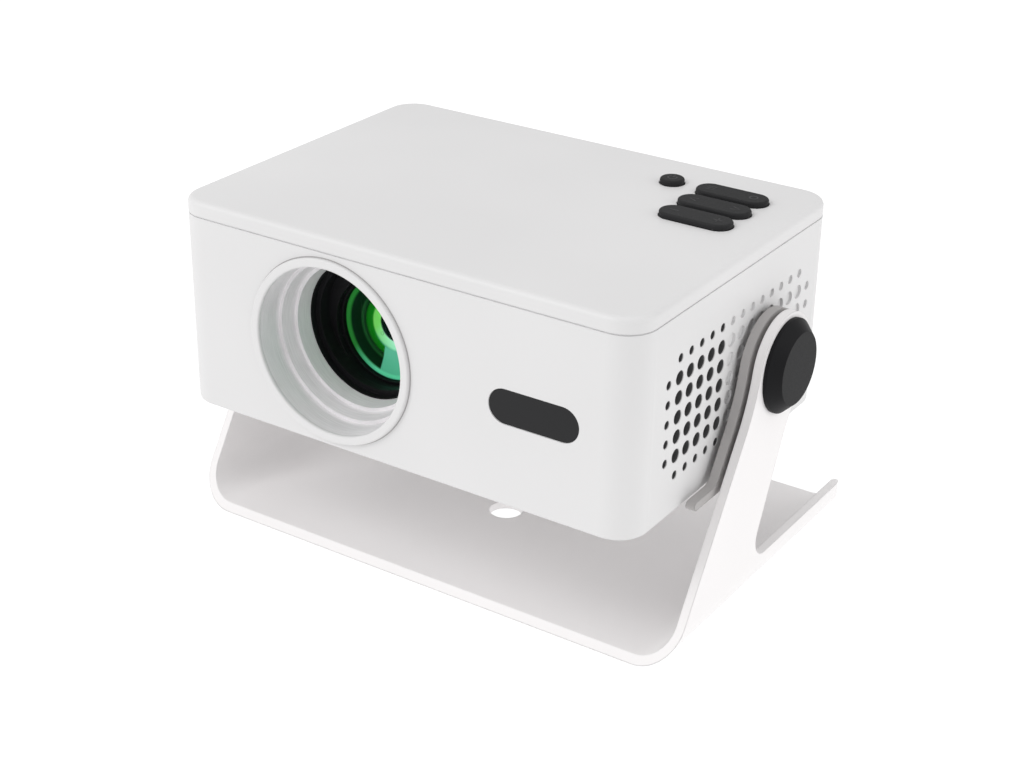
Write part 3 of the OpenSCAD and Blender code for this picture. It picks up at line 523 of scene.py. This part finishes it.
def build_lens(materials):
    """Front glass as a thin dome, with the coated elements seen behind it as a shallow dish painted with
    their reflections and made to glow.
    """
    low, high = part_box("front_lens")
    axis = lens_axis()
    radius = (high.x - low.x) / 2 - 0.00005
    dome_radius = 0.060
    front = low.y + 0.0001
    glass_t = 0.0004
    rings = 16
    outer = []
    for i in range(rings + 1):
        r = radius * (1 - i / rings)
        outer.append((r, front + dome_radius - math.sqrt(dome_radius**2 - r**2)))
    inner = [(r, y + glass_t) for r, y in reversed(outer)]
    dome = turned(
        "front_glass", axis, outer + inner[1:], materials["coated_glass"], "focus_carriage"
    )
    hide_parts("front_lens")
    rim = outer[0][1] + glass_t
    dish = [
        (0.0196, 0.0004), (0.0182, 0.0007), (0.0140, 0.0030),
        (0.0101, 0.0040), (0.0069, 0.0046), (0, 0.0050),
    ]
    stack = turned(
        "lens_stack_painted_glow", axis, [(r, rim + depth) for r, depth in dish],
        lens_stack_painted_glow("lens_stack_painted_glow", axis), "focus_carriage",
    )
    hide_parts("front_lens")


def build_bezel_shadow_ring(material):
    """Narrow painted shadow line where the lens ring meets the front wall."""
    low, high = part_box("lens_bezel")
    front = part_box("main_housing")[0].y
    axis = ((low.x + high.x) / 2, (low.z + high.z) / 2)
    radius = (high.x - low.x) / 2
    y = front - 0.00002
    profile = [(radius - 0.0002, y), (radius + 0.0004, y)]
    turned("bezel_shadow_ring", axis, profile, material, "projector")


def stroke(points, half):
    """Quads along a line through the points, half wide to each side."""
    left, right = [], []
    count = len(points)
    for i, p in enumerate(points):
        before = points[max(i - 1, 0)]
        after = points[min(i + 1, count - 1)]
        run = (Vector(after) - Vector(before)).normalized()
        side = Vector((-run.y, run.x)) * half
        left.append((p[0] + side.x, p[1] + side.y))
        right.append((p[0] - side.x, p[1] - side.y))
    return [[left[i], left[i + 1], right[i + 1], right[i]] for i in range(count - 1)]


def arc(radius, start, end, steps=20):
    """Points on an arc from one angle to another, in degrees."""
    turns = [math.radians(start + (end - start) * i / steps) for i in range(steps + 1)]
    return [(radius * math.cos(turn), radius * math.sin(turn)) for turn in turns]


def icon_shapes():
    """Generic key symbols as lists of quads, in metres about their own middle."""
    half = 0.00028
    reach = 0.0017
    low = reach * 0.8
    minus = stroke([(-reach, 0), (reach, 0)], half)
    plus = minus + stroke([(0, -reach), (0, reach)], half)
    back = stroke([(reach, low), (-low, 0), (reach, -low)], half)
    onward = stroke([(-reach, low), (low, 0), (-reach, -low)], half)
    menu = [quad for y in (-low, 0, low) for quad in stroke([(-reach, y), (reach, y)], half * 0.8)]
    enter = stroke(arc(reach * 0.85, 0, 360), half)
    power = stroke(arc(reach * 0.95, 125, 415), half)
    power += stroke([(0, reach * 0.2), (0, reach * 1.3)], half)
    return {"front": (minus, plus), "middle": (back, onward), "rear": (menu, enter), "round": (power,)}


def build_icons(material):
    """Faint symbols just above the keys' tops, riding with them."""
    lift = 0.00004
    apart = 0.0085
    for key, shapes in icon_shapes().items():
        low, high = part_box("key_" + key)
        middle = ((low.x + high.x) / 2, (low.y + high.y) / 2)
        places = (-apart, apart) if len(shapes) == 2 else (0,)
        points, faces = [], []
        for shift, quads in zip(places, shapes):
            for quad in quads:
                faces.append(list(range(len(points), len(points) + 4)))
                points += [(middle[0] + shift + x, middle[1] + y, high.z + lift) for x, y in quad]
        add_mesh("key_icons_" + key, points, faces, material, key + "_key")


def main():
    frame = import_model()
    make_camera()
    make_light()
    make_floor()
    materials = make_materials()
    dress_frame(frame, materials)
    build_lens(materials)
    # dark ring painted as the shadow along the lens ring's edge
    build_bezel_shadow_ring(plastic("bezel_shadow_grey", (0.42, 0.41, 0.41), rough=0.6))
    build_icons(plastic("icon_grey", (0.035, 0.035, 0.037), rough=0.5, specular=0.3))


main()
